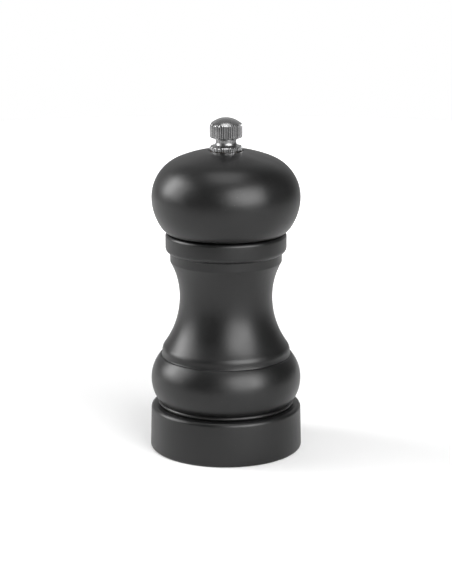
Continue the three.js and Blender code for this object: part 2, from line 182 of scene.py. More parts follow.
def makeLights():
    target = Vector((0.0, 0.0, viewSet["lightTarget"]))
    for name, (azimuth, elevation, distance, width, height, power) in softboxes.items():
        data = bpy.data.lights.new(name, "AREA")
        data.shape = "RECTANGLE"
        data.size = width
        data.size_y = height
        data.energy = power
        azimuth, elevation = radians(azimuth), radians(elevation)
        away = Vector((
            sin(azimuth) * cos(elevation),
            -cos(azimuth) * cos(elevation),
            sin(elevation),
        ))
        lamp = newObject(name, data)
        lamp.location = target + away * distance
        lamp.rotation_euler = away.to_track_quat("Z", "Y").to_euler()
        lamp.visible_camera = False


# white behind the mill, and for the light itself dim above the horizon and brighter below it
def makeSky():
    world = bpy.data.worlds.new("studioSky")
    bpy.context.scene.world = world
    world.use_nodes = True
    tree = world.node_tree
    tree.nodes.clear()
    output = addNode(tree, "OutputWorld")
    mix = addNode(tree, "MixShader")
    path = addNode(tree, "LightPath")
    dim = addNode(tree, "Background", {"Color": white})
    seen = addNode(tree, "Background", {"Color": white, "Strength": viewSet["skySeen"]})
    direction = addNode(tree, "TexCoord")
    split = addNode(tree, "SeparateXYZ")
    join(tree, direction.outputs["Generated"], split.inputs[0])
    fade = remap(tree, split.outputs["Z"], viewSet["skyLow"], viewSet["skyHigh"], *viewSet["skyFade"])
    join(tree, fade, dim.inputs["Strength"])
    join(tree, path.outputs["Is Camera Ray"], mix.inputs["Fac"])
    join(tree, dim.outputs["Background"], mix.inputs[1])
    join(tree, seen.outputs["Background"], mix.inputs[2])
    join(tree, mix.outputs["Shader"], output.inputs["Surface"])


makeCamera()
makeFloor()
makeLights()
makeSky()
bpy.context.scene.view_settings.view_transform = "Standard"
print("camera, floor and lights ready")


def newGroup(name, inputs, outputs):
    group = bpy.data.node_groups.new(name, "ShaderNodeTree")
    for label, value in inputs:
        socket = group.interface.new_socket(name=label, in_out="INPUT", socket_type="NodeSocketFloat")
        socket.default_value = value
    for label in outputs:
        group.interface.new_socket(name=label, in_out="OUTPUT", socket_type="NodeSocketFloat")
    return group, group.nodes.new("NodeGroupInput"), group.nodes.new("NodeGroupOutput")


def scaledBy(tree, source, factor):
    scaled = addNode(tree, "VectorMath", operation="SCALE")
    join(tree, source, scaled.inputs[0])
    join(tree, factor, scaled.inputs["Scale"])
    return scaled.outputs[0]


def noise(tree, source, scale, detail, roughness=0.5, distortion=0.0):
    made = addNode(tree, "TexNoise", {
        "Scale": scale, "Detail": detail, "Roughness": roughness, "Distortion": distortion,
    })
    join(tree, source, made.inputs["Vector"])
    return made.outputs[0]


# long fibres along the axis, with short open pores
def makeGrainGroup():
    group, given, out = newGroup("woodGrain", [("Fineness", 1.0), ("Pores", 0.5)], ["Streaks", "Height"])
    where = addNode(group, "TexCoord").outputs["Object"]
    stretch = addNode(group, "VectorMath", {1: (420.0, 420.0, 16.0)}, operation="MULTIPLY")
    join(group, where, stretch.inputs[0])
    scaled = scaledBy(group, stretch.outputs[0], given.outputs["Fineness"])
    fibres = noise(group, scaled, 1.0, 5.0, 0.62, 0.3)
    opened = remap(group, noise(group, scaled, 3.4, 2.0), 1.0, 0.0, 0.30, 0.42)
    depth = times(group, opened, given.outputs["Pores"])
    join(group, fibres, out.inputs["Streaks"])
    join(group, mathNode(group, "SUBTRACT", fibres, depth), out.inputs["Height"])
    return group


# rings left by the lathe, fine steps in radius and height
def makeLatheGroup():
    group, given, out = newGroup("latheMarks", [("Spacing", 1.0)], ["Height"])
    split = addNode(group, "SeparateXYZ")
    join(group, addNode(group, "TexCoord").outputs["Object"], split.inputs[0])
    x, y, z = split.outputs
    radius = mathNode(group, "SQRT", add(group, times(group, x, x), times(group, y, y)))
    along = add(group, z, radius)
    finer = mathNode(group, "DIVIDE", times(group, along, 5200.0), given.outputs["Spacing"])
    rings = addNode(group, "TexNoise", {"Scale": 1.0, "Detail": 3.0, "Roughness": 0.7}, noise_dimensions="1D")
    join(group, finer, rings.inputs["W"])
    join(group, rings.outputs[0], out.inputs["Height"])
    return group


# faint clouds of handling, smears and lint
def makeHandlingGroup():
    group, given, out = newGroup("handling", [("Size", 1.0), ("Lint", 0.5)], ["Smears", "Lint"])
    scaled = scaledBy(group, addNode(group, "TexCoord").outputs["Object"], given.outputs["Size"])
    specks = addNode(group, "TexVoronoi", {"Scale": 620.0, "Randomness": 1.0})
    join(group, scaled, specks.inputs["Vector"])
    near = remap(group, specks.outputs["Distance"], 1.0, 0.0, 0.05, 0.13)
    sparse = remap(group, noise(group, scaled, 130.0, 2.0), 0.0, 1.0, 0.56, 0.66)
    lint = times(group, times(group, near, sparse), given.outputs["Lint"], clamp=True)
    join(group, noise(group, scaled, 55.0, 6.0, 0.6, 0.8), out.inputs["Smears"])
    join(group, lint, out.inputs["Lint"])
    return group


# rubbed edges: the mesh says where an edge is, and noise breaks it up
def makeWearGroup():
    group, given, out = newGroup("rubbedEdges", [("Amount", 1.0)], ["Mask"])
    edge = addNode(group, "Attribute", attribute_name="edge", attribute_type="GEOMETRY")
    breakUp = noise(group, addNode(group, "TexCoord").outputs["Object"], 380.0, 4.0, 0.65)
    mixed = add(group, times(group, edge.outputs["Fac"], given.outputs["Amount"]),
                mathNode(group, "SUBTRACT", breakUp, 0.5))
    join(group, remap(group, mixed, 0.0, 1.0, 0.42, 0.75), out.inputs["Mask"])
    return group


grainGroup = makeGrainGroup()
latheGroup = makeLatheGroup()
handlingGroup = makeHandlingGroup()
wearGroup = makeWearGroup()


def useGroup(tree, group, values=None):
    return addNode(tree, "Group", values, node_tree=group)


def blendColour(tree, factor, first, second):
    made = addNode(tree, "Mix", data_type="RGBA")
    join(tree, factor, made.inputs["Factor"])
    for slot, value in (("A", first), ("B", second)):
        socket = next(s for s in made.inputs if s.name == slot and s.type == "RGBA")
        if isinstance(value, tuple):
            socket.default_value = value
        else:
            join(tree, value, socket)
    return next(s for s in made.outputs if s.type == "RGBA")


def bumped(tree, shader, height, distance):
    bump = addNode(tree, "Bump", {"Distance": distance, "Strength": 1.0})
    join(tree, height, bump.inputs["Height"])
    join(tree, bump.outputs["Normal"], shader.inputs["Normal"])


lacquerSet = {
    "colour": (0.0035, 0.0035, 0.0036, 1.0),
    "worn": (0.030, 0.029, 0.028, 1.0),
    "lint": (0.05, 0.05, 0.048, 1.0),
    "roughness": (0.33, 0.44),
    "wornRoughness": 0.08,
    "bump": 0.00002,
}


def makeLacquer():
    material, tree, shader = newMaterial("satinBlackLacquer", {
        "IOR": 1.5, "Coat Weight": 0.10, "Coat Roughness": 0.28, "Coat IOR": 1.5,
    })
    grain = useGroup(tree, grainGroup, {"Fineness": 1.0, "Pores": 0.6})
    rings = useGroup(tree, latheGroup, {"Spacing": 1.6})
    hands = useGroup(tree, handlingGroup, {"Size": 1.0, "Lint": 0.7})
    wear = useGroup(tree, wearGroup, {"Amount": 0.75})
    colour = blendColour(tree, wear.outputs["Mask"], lacquerSet["colour"], lacquerSet["worn"])
    colour = blendColour(tree, hands.outputs["Lint"], colour, lacquerSet["lint"])
    join(tree, colour, shader.inputs["Base Color"])
    rough = remap(tree, hands.outputs["Smears"], *lacquerSet["roughness"])
    rough = add(tree, rough, times(tree, wear.outputs["Mask"], lacquerSet["wornRoughness"]))
    join(tree, rough, shader.inputs["Roughness"])
    height = add(tree, times(tree, grain.outputs["Height"], 0.8), times(tree, rings.outputs["Height"], 0.35))
    bumped(tree, shader, height, lacquerSet["bump"])
    return material


bareWoodSet = {
    "light": (0.60, 0.42, 0.25, 1.0),
    "dark": (0.36, 0.22, 0.11, 1.0),
    "roughness": (0.72, 0.55),
    "bump": 0.00005,
}


def makeBareWood():
    material, tree, shader = newMaterial("bareBeech", {"IOR": 1.45})
    grain = useGroup(tree, grainGroup, {"Fineness": 1.0, "Pores": 0.8})
    broad = useGroup(tree, grainGroup, {"Fineness": 0.22, "Pores": 0.0})
    rings = useGroup(tree, latheGroup, {"Spacing": 3.0})
    tone = add(tree, times(tree, grain.outputs["Streaks"], 0.5), times(tree, broad.outputs["Streaks"], 0.5))
    factor = remap(tree, tone, 0.0, 1.0, 0.36, 0.66)
    colour = blendColour(tree, factor, bareWoodSet["dark"], bareWoodSet["light"])
    join(tree, colour, shader.inputs["Base Color"])
    rough = remap(tree, grain.outputs["Streaks"], *bareWoodSet["roughness"])
    join(tree, rough, shader.inputs["Roughness"])
    height = add(tree, grain.outputs["Height"], times(tree, rings.outputs["Height"], 0.7))
    bumped(tree, shader, height, bareWoodSet["bump"])
    return material


# spacing is that of the lathe marks, bump is in metres, and wear is how far edges are rubbed
metalSet = {
    "chromePlate": {
        "colour": (0.80, 0.80, 0.805, 1.0), "worn": (0.88, 0.88, 0.88, 1.0),
        "roughness": (0.08, 0.20), "spacing": 0.7, "bump": 0.0000012, "wear": 0.5,
        # the dark colour is painted shade in the knurl valleys, and an even dulling of the plain plating
        "grime": (0.02, 0.02, 0.02, 1.0), "grimeRoughness": 0.25,
    },
    "zincSteel": {
        "colour": (0.50, 0.51, 0.52, 1.0), "worn": (0.64, 0.64, 0.64, 1.0),
        "roughness": (0.24, 0.42), "spacing": 1.2, "bump": 0.000006, "wear": 0.8,
    },
    "burrSteel": {
        "colour": (0.16, 0.16, 0.17, 1.0), "worn": (0.42, 0.42, 0.43, 1.0),
        "roughness": (0.30, 0.48), "spacing": 2.0, "bump": 0.00001, "wear": 0.9,
    },
    "turnedBrass": {
        "colour": (0.62, 0.44, 0.19, 1.0), "worn": (0.74, 0.56, 0.28, 1.0),
        "roughness": (0.22, 0.38), "spacing": 1.0, "bump": 0.000005, "wear": 0.8,
    },
}


def makeMetal(name):
    look = metalSet[name]
    material, tree, shader = newMaterial(name, {"Metallic": 1.0})
    rings = useGroup(tree, latheGroup, {"Spacing": look["spacing"]})
    hands = useGroup(tree, handlingGroup, {"Size": 2.4, "Lint": 0.0})
    wear = useGroup(tree, wearGroup, {"Amount": look["wear"]})
    colour = blendColour(tree, wear.outputs["Mask"], look["colour"], look["worn"])
    rough = remap(tree, hands.outputs["Smears"], *look["roughness"])
    if "grime" in look:
        # painted shade: the dark colour fills the knurl valleys and dulls the plain plating evenly, and the
        # roughness rises with it
        grime = addNode(tree, "Attribute", attribute_name="grime", attribute_type="GEOMETRY").outputs["Fac"]
        colour = blendColour(tree, grime, colour, look["grime"])
        rough = add(tree, rough, times(tree, grime, look["grimeRoughness"]))
    join(tree, colour, shader.inputs["Base Color"])
    join(tree, rough, shader.inputs["Roughness"])
    height = add(tree, rings.outputs["Height"], times(tree, hands.outputs["Smears"], 0.6))
    bumped(tree, shader, height, look["bump"])
    return material


nylonSet = {
    "colour": (0.014, 0.014, 0.014, 1.0),
    "lint": (0.10, 0.10, 0.10, 1.0),
    "roughness": (0.46, 0.62),
    "bump": 0.00001,
}


def makeNylon():
    material, tree, shader = newMaterial("blackNylon", {"IOR": 1.53})
    rings = useGroup(tree, latheGroup, {"Spacing": 2.0})
    hands = useGroup(tree, handlingGroup, {"Size": 1.8, "Lint": 0.2})
    colour = blendColour(tree, hands.outputs["Lint"], nylonSet["colour"], nylonSet["lint"])
    join(tree, colour, shader.inputs["Base Color"])
    rough = remap(tree, hands.outputs["Smears"], *nylonSet["roughness"])
    join(tree, rough, shader.inputs["Roughness"])
    bumped(tree, shader, rings.outputs["Height"], nylonSet["bump"])
    return material


lacquer = makeLacquer()
bareWood = makeBareWood()
chrome = makeMetal("chromePlate")
steel = makeMetal("zincSteel")
burrSteel = makeMetal("burrSteel")
brass = makeMetal("turnedBrass")
nylon = makeNylon()
print("materials ready")


# corners are in degrees, lengths in millimetres
easeSet = {
    "cornerAngle": 25,
    "share": 0.45,
    "creaseShare": 0.8,
    "crease": 1.2,
    "cuts": 4,
    "edgeReach": 0.5,
    "fullEdge": 80,
    "sharpAngle": 32,
}


# profiles are lists of (radius, height, tag) in millimetres
def arcPoints(centreR, centreZ, radius, start, end, tag="", step=0.35):
    count = max(3, ceil(abs(radians(end - start)) * radius / step))
    angles = [radians(start + (end - start) * i / count) for i in range(count + 1)]
    return [(centreR + radius * cos(a), centreZ + radius * sin(a), tag) for a in angles]


def linePoints(first, last, step, tag=""):
    count = max(1, ceil(dist(first[:2], last[:2]) / step))
    return [
        (first[0] + (last[0] - first[0]) * i / count, first[1] + (last[1] - first[1]) * i / count, tag)
        for i in range(count + 1)
    ]


def tagged(tag, *pairs):
    return [(r, z, tag) for r, z in pairs]


def distinct(points):
    return [p for i, p in enumerate(points) if dist(p[:2], points[i - 1][:2]) > tiny]


def signedArea(points):
    pairs = [(points[i - 1], points[i]) for i in range(len(points))]
    return sum(a[0] * b[1] - b[0] * a[1] for a, b in pairs)


def turnAt(points, i):
    a, b, c = points[i - 1], points[i], points[(i + 1) % len(points)]
    first = atan2(b[1] - a[1], b[0] - a[0])
    second = atan2(c[1] - b[1], c[0] - b[0])
    return (second - first + pi) % (2 * pi) - pi


def walk(points, i, way, length):
    here = points[i]
    while True:
        ahead = points[(i + way) % len(points)]
        gap = dist(here[:2], ahead[:2])
        if gap >= length:
            share = length / gap
            place = (here[0] + (ahead[0] - here[0]) * share, here[1] + (ahead[1] - here[1]) * share)
            return place, i
        length -= gap
        i = (i + way) % len(points)
        here = ahead


# rounds the sharp corners of a closed profile; a crease is where lacquer has pooled
def easeCorners(points, amount):
    points = distinct(points)
    total, cuts = len(points), easeSet["cuts"]
    sharp = radians(easeSet["cornerAngle"])
    corners = [i for i in range(total) if abs(turnAt(points, i)) > sharp and points[i][0] > tiny]
    if not corners:
        return points
    lengths = [dist(points[i][:2], points[(i + 1) % total][:2]) for i in range(total)]

    def distance(i, j):
        length = 0.0
        while i != j:
            length += lengths[i]
            i = (i + 1) % total
        return length

    skipped = set()
    inserts = {}
    for n, i in enumerate(corners):
        before = distance(corners[n - 1], i) if len(corners) > 1 else 1e9
        after = distance(i, corners[(n + 1) % len(corners)]) if len(corners) > 1 else 1e9
        pooled = points[i][2] == "crease"
        share = easeSet["creaseShare"] if pooled else easeSet["share"]
        wanted = easeSet["crease"] if pooled else amount
        size = min(wanted, share * before, share * after)
        start, startAt = walk(points, i, -1, size)
        end, endAt = walk(points, i, 1, size)
        j = startAt
        while j != endAt:
            if j != startAt:
                skipped.add(j)
            j = (j + 1) % total
        skipped.add(endAt)
        corner = points[i]
        curve = []
        for k in range(cuts + 1):
            t = k / cuts
            r = (1 - t) ** 2 * start[0] + 2 * t * (1 - t) * corner[0] + t * t * end[0]
            z = (1 - t) ** 2 * start[1] + 2 * t * (1 - t) * corner[1] + t * t * end[1]
            curve.append((r, z, corner[2]))
        inserts[i] = curve
    result = []
    for i, point in enumerate(points):
        if i in inserts:
            result.extend(inserts[i])
        elif i not in skipped:
            result.append(point)
    return result


# how strongly the outline turns outwards within a short reach of each point
def edgeStrength(points):
    total, reach = len(points), easeSet["edgeReach"]
    turns = [turnAt(points, i) for i in range(total)]
    sign = 1.0 if signedArea(points) > 0 else -1.0
    strengths = []
    for i in range(total):
        summed = turns[i] * sign
        for way in (-1, 1):
            length, j = 0.0, i
            while True:
                k = (j + way) % total
                length += dist(points[j][:2], points[k][:2])
                if length > reach or k == i:
                    break
                summed += turns[k] * sign * (1 - length / reach)
                j = k
        strengths.append(max(0.0, min(1.0, summed / radians(easeSet["fullEdge"]))))
    return strengths


def paint(mesh, name, values):
    mesh.attributes.new(name, "FLOAT", "POINT").data.foreach_set("value", values)


def evaluatedMesh(thing):
    bpy.context.view_layer.update()
    return bpy.data.meshes.new_from_object(thing.evaluated_get(bpy.context.evaluated_depsgraph_get()))


def finishMesh(mesh, materials):
    for material in materials:
        mesh.materials.append(material)
    mesh.polygons.foreach_set("use_smooth", [True] * len(mesh.polygons))
    mesh.set_sharp_from_angle(angle=radians(easeSet["sharpAngle"]))
    mesh.validate()
    mesh.update()


# a solid of revolution, whose profile closes on itself or starts and ends on the axis
# shape(radius, height, angle, tag) may change the radius, and a second function of (angle, tag) gives how far
# each point's colour is darkened, as painted shade in knurl valleys and as even dulling elsewhere
def spin(name, points, segments, materials, shape=None, centre=(0.0, 0.0), grime=None):
    points = distinct(points)
    onAxis = points[0][0] < tiny and points[-1][0] < tiny
    if signedArea(points) < 0:
        points.reverse()
    strengths = edgeStrength(points)
    verts, edges, rows, shadeAndDullingValues = [], [], [], []
    for index, (radius, height, tag) in enumerate(points):
        if radius < tiny:
            rows.append([len(verts)] * segments)
            verts.append((centre[0] * mm, centre[1] * mm, height * mm))
            edges.append(strengths[index])
            shadeAndDullingValues.append(0.0)
            continue
        row = []
        for s in range(segments):
            angle = 2 * pi * s / segments
            r = shape(radius, height, angle, tag) if shape else radius
            row.append(len(verts))
            x, y = centre[0] + r * cos(angle), centre[1] + r * sin(angle)
            verts.append((x * mm, y * mm, height * mm))
            edges.append(strengths[index])
            shadeAndDullingValues.append(grime(angle, tag) if grime else 0.0)
        rows.append(row)
    faces, slots = [], []
    count = len(rows)
    for i in range(count - 1 if onAxis else count):
        low, high = rows[i], rows[(i + 1) % count]
        bare = points[i][2] == points[(i + 1) % count][2] == "bare"
        for s in range(segments):
            t = (s + 1) % segments
            face = [low[s], low[t], high[t], high[s]]
            face = [v for n, v in enumerate(face) if v != face[n - 1]]
            if len(face) > 2:
                faces.append(face)
                slots.append(1 if bare and len(materials) > 1 else 0)
    mesh = bpy.data.meshes.new(name)
    mesh.from_pydata(verts, [], faces)
    mesh.polygons.foreach_set("material_index", slots)
    paint(mesh, "edge", edges)
    if grime:
        paint(mesh, "grime", shadeAndDullingValues)
    finishMesh(mesh, materials)
    return newObject(name, mesh)


# a stamped plate with rounded edges: outlines are closed lists of (x, y) in millimetres
def plate(name, outlines, bottom, top, materials, edgeRound=0.12):
    curve = bpy.data.curves.new(name, "CURVE")
    curve.dimensions = "2D"
    curve.fill_mode = "BOTH"
    curve.extrude = ((top - bottom) / 2 - edgeRound) * mm
    curve.bevel_depth = edgeRound * mm
    curve.bevel_resolution = 2
    curve.offset = -edgeRound * mm
    for outline in outlines:
        spline = curve.splines.new("POLY")
        spline.points.add(len(outline) - 1)
        for point, (x, y) in zip(spline.points, outline):
            point.co = (x * mm, y * mm, 0.0, 1.0)
        spline.use_cyclic_u = True
    helper = newObject(name + "Curve", curve)
    mesh = evaluatedMesh(helper)
    mesh.name = name
    bpy.data.objects.remove(helper)
    bpy.data.curves.remove(curve)
    work = bmesh.new()
    work.from_mesh(mesh)
    bmesh.ops.remove_doubles(work, verts=work.verts, dist=1e-6)
    bmesh.ops.recalc_face_normals(work, faces=work.faces)
    bmesh.ops.translate(work, verts=work.verts, vec=(0, 0, (bottom + top) / 2 * mm))
    work.to_mesh(mesh)
    work.free()
    mesh.materials.clear()
    flat = ((top - bottom) / 2 - edgeRound * 0.9) * mm
    middle = (bottom + top) / 2 * mm
    paint(mesh, "edge", [0.45 if abs(v.co.z - middle) < flat else 0.1 for v in mesh.vertices])
    finishMesh(mesh, materials)
    return newObject(name, mesh)


def circleOutline(radius, count, x=0.0):
    angles = [2 * pi * i / count for i in range(count)]
    return [(x + radius * cos(a), radius * sin(a)) for a in angles]


def place(piece, body, slot, *nodes):
    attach(piece, body)
    if nodes:
        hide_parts(*nodes)


def boxOf(node):
    low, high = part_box(node)
    return [v / mm for v in low], [v / mm for v in high]


def outerRadius(node):
    low, high = boxOf(node)
    return (high[0] - low[0]) / 2


bodySet = {
    "segments": 240,
    "footRound": 1.1,
    "bandTaper": 0.35,
    "bandHeight": 17.3,
    "bandTopRound": 1.7,
    "grooveDepth": 3.2,
    "grooveHeight": 1.25,
    "bulgeInset": 0.45,
    "bulgeRound": 14.3,
    "bulgeBelow": 8.95,
    "bulgeAbove": 9.35,
    "ridgeInset": 4.25,
    "ridgeStep": 1.6,
    "ridgeProud": 0.25,
    "ridgeDrop": 0.1,
    "ridgeRoll": 4.2,
    "waistRadius": 17.8,
    "lowerWaist": 21.3,
    "upperWaist": 14.0,
    "neckRadius": 21.4,
    "neckHeight": 3.4,
    "collarOverhang": 1.75,
    "collarUnder": 2.1,
    "collarTop": 1.3,
    "chamberRadius": 12.5,
    "mouthRadius": 14.3,
    "mouthMargin": 1.0,
    "recessRadius": 22.6,
    "recessDepth": 5.5,
    "seatGap": 0.3,
    "beadRound": 0.75,
    "edgeEase": 0.28,
}


def bodyOutline(size, baseRadius, collarTop):
    bandRadius = baseRadius - size["bandTaper"]
    bulgeRadius = baseRadius - size["bulgeInset"]
    bulgeBottom = size["bandHeight"] + size["grooveHeight"]
    bulgeMiddle = bulgeBottom + size["bulgeBelow"]
    bulgeTop = bulgeMiddle + size["bulgeAbove"]
    bulge = size["bulgeRound"]
    ridgeRadius = bulgeRadius - size["ridgeInset"]
    roll = size["ridgeRoll"]
    rollStart = bulgeTop + size["ridgeStep"]
    rollCentre = ridgeRadius - roll
    waist = size["waistRadius"]
    waistLevel = rollStart + size["lowerWaist"]

    # the roll runs into the lower waist where both have one slope
    drop = rollCentre - waist
    lower = (size["lowerWaist"] ** 2 + drop ** 2 - roll ** 2) / (2 * (roll + drop))
    rollEnd = degrees(atan2(size["lowerWaist"], waist + lower - rollCentre))
    rise = size["neckRadius"] - waist
    upper = (size["upperWaist"] ** 2 + rise ** 2) / (2 * rise)
    upperEnd = 180 - degrees(atan2(size["upperWaist"], waist + upper - size["neckRadius"]))

    collarRadius = size["neckRadius"] + size["collarOverhang"]
    under = size["collarUnder"]
    underStart = -degrees(acos(1 - size["collarOverhang"] / under))
    collarBottom = waistLevel + size["upperWaist"] + size["neckHeight"]
    underCentre = collarBottom - under * sin(radians(underStart))
    foot, bandRound = size["footRound"], size["bandTopRound"]
    lip, bead = size["collarTop"], size["beadRound"]
    return (
        arcPoints(baseRadius - foot, foot, foot, -90, 0)
        + arcPoints(bandRadius - bandRound, size["bandHeight"] - bandRound, bandRound, 0, 90)
        + arcPoints(baseRadius - size["grooveDepth"] - bead, size["bandHeight"] + bead, bead,
                    -80, 100, step=0.12)
        + arcPoints(bulgeRadius - bulge, bulgeMiddle, bulge,
                    -degrees(asin(size["bulgeBelow"] / bulge)),
                    degrees(asin(size["bulgeAbove"] / bulge)))
        + [(ridgeRadius + size["ridgeProud"], bulgeTop - size["ridgeDrop"], "crease")]
        + arcPoints(rollCentre, rollStart, roll, 0, rollEnd)
        + arcPoints(waist + lower, waistLevel, lower, 180 + rollEnd, 180, step=0.6)[1:]
        + arcPoints(waist + upper, waistLevel, upper, 180, upperEnd, step=0.6)[1:]
        + arcPoints(collarRadius - under, underCentre, under, underStart, 0)
        + arcPoints(collarRadius - lip, collarTop - lip, lip, 0, 90, step=0.2)
    )


def makeBody():
    size = bodySet
    low, high = boxOf("body")
    ringLow, ringHigh = boxOf("glide_ring")
    housingHigh = boxOf("grinder_housing")[1][2]
    gap = size["seatGap"]
    seatRadius = outerRadius("glide_ring") + gap
    counterRadius = outerRadius("grinder_housing") + gap
    mouthFloor = boxOf("head")[0][2] - size["mouthMargin"]
    points = bodyOutline(size, outerRadius("body"), high[2])
    points += tagged(
        "bare",
        (seatRadius, high[2]),
        (seatRadius, ringLow[2] - gap),
        (size["mouthRadius"], ringLow[2] - gap),
        (size["mouthRadius"], mouthFloor),
        (size["chamberRadius"], mouthFloor),
        (size["chamberRadius"], housingHigh + gap),
        (counterRadius, housingHigh + gap),
        (counterRadius, size["recessDepth"]),
        (size["recessRadius"], size["recessDepth"]),
        (size["recessRadius"], 0.0),
    )
    points = easeCorners(points, size["edgeEase"])
    piece = spin("millBody", points, size["segments"], [lacquer, bareWood])
    place(piece, "mill_body", "lacquer", "body")


makeBody()
print("body ready")


headSet = {
    "segments": 240,
    "gapAboveCollar": 0.6,
    "widestAbove": 13.15,
    "lowerRound": 19.8,
    "sideRound": 15.9,
    "domeRound": 47.8,
    "crownRound": 22.0,
    "crownRadius": 10.5,
    "lowerEdge": 1.4,
    "spotDepth": 0.3,
    "spotMargin": 0.45,
    "spigotRadius": 13.9,
    "spigotChamfer": 0.5,
    "boreRadius": 4.24,
    "fitGap": 0.3,
    "edgeEase": 0.22,
}


def makeHead():
    size = headSet
    low, high = boxOf("head")
    plateHigh = boxOf("drive_plate")[1][2]
    ferruleLow, ferruleHigh = boxOf("head_ferrule")
    washerRadius = outerRadius("nut_washer")
    headBottom = boxOf("body")[1][2] + size["gapAboveCollar"]
    widest = headBottom + size["widestAbove"]
    radius = outerRadius("head")
    lowerCentre = radius - size["lowerRound"]
    lowerStart = -asin((widest - headBottom - size["lowerEdge"]) / size["lowerRound"])
    sideCentre = radius - size["sideRound"]
    reach = size["domeRound"] - size["sideRound"]
    domeCentre = widest - sqrt(reach ** 2 - sideCentre ** 2)
    domeStart = degrees(atan2(widest - domeCentre, sideCentre))
    crownStart = acos(size["crownRadius"] / size["domeRound"])
    crownCentre = size["crownRadius"] - size["crownRound"] * cos(crownStart)
    crownLevel = domeCentre + (size["domeRound"] - size["crownRound"]) * sin(crownStart)
    spotRadius = outerRadius("thumb_nut") + size["spotMargin"]
    crownEnd = acos((spotRadius - crownCentre) / size["crownRound"])
    spot = crownLevel + size["crownRound"] * sin(crownEnd) - size["spotDepth"]
    gap = size["fitGap"]
    plateRadius = outerRadius("drive_plate") + gap
    ferruleBore = outerRadius("head_ferrule") + gap
    spigot, chamfer = size["spigotRadius"], size["spigotChamfer"]
    points = tagged(
        "bare",
        (size["boreRadius"], plateHigh + gap),
        (plateRadius, plateHigh + gap),
        (plateRadius, low[2]),
        (spigot - chamfer, low[2]),
        (spigot, low[2] + chamfer),
        (spigot, headBottom),
    )
    points.append((lowerCentre + size["lowerRound"] * cos(lowerStart) - size["lowerEdge"], headBottom, ""))
    points += arcPoints(lowerCentre, widest, size["lowerRound"], degrees(lowerStart), 0, step=0.5)
    points += arcPoints(sideCentre, widest, size["sideRound"], 0, domeStart, step=0.5)[1:]
    points += arcPoints(0.0, domeCentre, size["domeRound"], domeStart, degrees(crownStart), step=0.6)[1:]
    points += arcPoints(crownCentre, crownLevel, size["crownRound"],
                        degrees(crownStart), degrees(crownEnd))[1:]
    points.append((spotRadius, spot, ""))
    points += tagged(
        "bare",
        (washerRadius + gap, spot),
        (washerRadius + gap, ferruleHigh[2]),
        (ferruleBore, ferruleHigh[2]),
        (ferruleBore, ferruleLow[2] - gap),
        (size["boreRadius"], ferruleLow[2] - gap),
    )
    points = easeCorners(points, size["edgeEase"])
    piece = spin("millHead", points, size["segments"], [lacquer, bareWood])
    place(piece, "head_set", "lacquer", "head")


makeHead()
print("head ready")


# bushings, washers and the glide ring
ringSet = {
    "glide_ring": {"inner": 14.3, "body": "mill_body", "slot": "nylon", "look": nylon, "ease": 0.25},
    # painted shade: the nut washer is black so that it shows as the dark shadow line under the thumb nut's
    # flange
    "nut_washer": {"inner": 2.65, "body": "washer_set", "slot": "nylon", "look": nylon, "ease": 0.12},
    "head_ferrule": {"inner": 3.94, "body": "head_set", "slot": "brass", "look": brass, "ease": 0.2},
    "thrust_washer": {"inner": 3.94, "body": "turning_set", "slot": "brass", "look": brass, "ease": 0.18},
    "rotor_washer": {"inner": 3.94, "body": "spindle_set", "slot": "steel", "look": steel, "ease": 0.18},
}


def makeRings():
    for node, ring in ringSet.items():
        low, high = boxOf(node)
        outer = outerRadius(node)
        inner = ring["inner"]
        points = tagged("", (inner, low[2]), (outer, low[2]), (outer, high[2]), (inner, high[2]))
        words = node.split("_")
        name = words[0] + "".join(word.capitalize() for word in words[1:])
        piece = spin(name + "Turned", easeCorners(points, ring["ease"]), 96, [ring["look"]])
        place(piece, ring["body"], ring["slot"], node)


makeRings()


nutSet = {
    "segments": 576,
    "teeth": 48,
    "toothDepth": 0.4,
    "toothWander": 0.5,
    "plainDulling": 0.58,
    "flatShare": 0.36,
    "seat": 0.2,
    "flangeHeight": 1.95,
    "flangeBevel": 0.35,
    "neckHeight": 3.2,
    "neckRadius": 3.9,
    "fillet": 1.5,
    "beadRound": 0.3,
    "drumHeight": 5.25,
    "drumBevel": 0.32,
    "threadPitch": 0.8,
    "threadDepth": 0.22,
    "threadLength": 4.0,
    "boreMargin": 2.7,
    "boreTop": 3.2,
}


# a straight knurl: flat-topped teeth with sharp valleys between them, no two rolled quite the same
def knurl(angle, size):
    turns = angle * size["teeth"] / (2 * pi)
    tooth, phase = floor(turns + 1e-6), (turns + 1e-6) % 1.0
    wander = sin(tooth * 2.4) * sin(tooth * 0.93 + 1.0)
    flat = size["flatShare"] * (1 + size["toothWander"] * wander)
    side = abs(phase - 0.5) * 2.0
    return max(0.0, (side - flat) / (1.0 - flat))


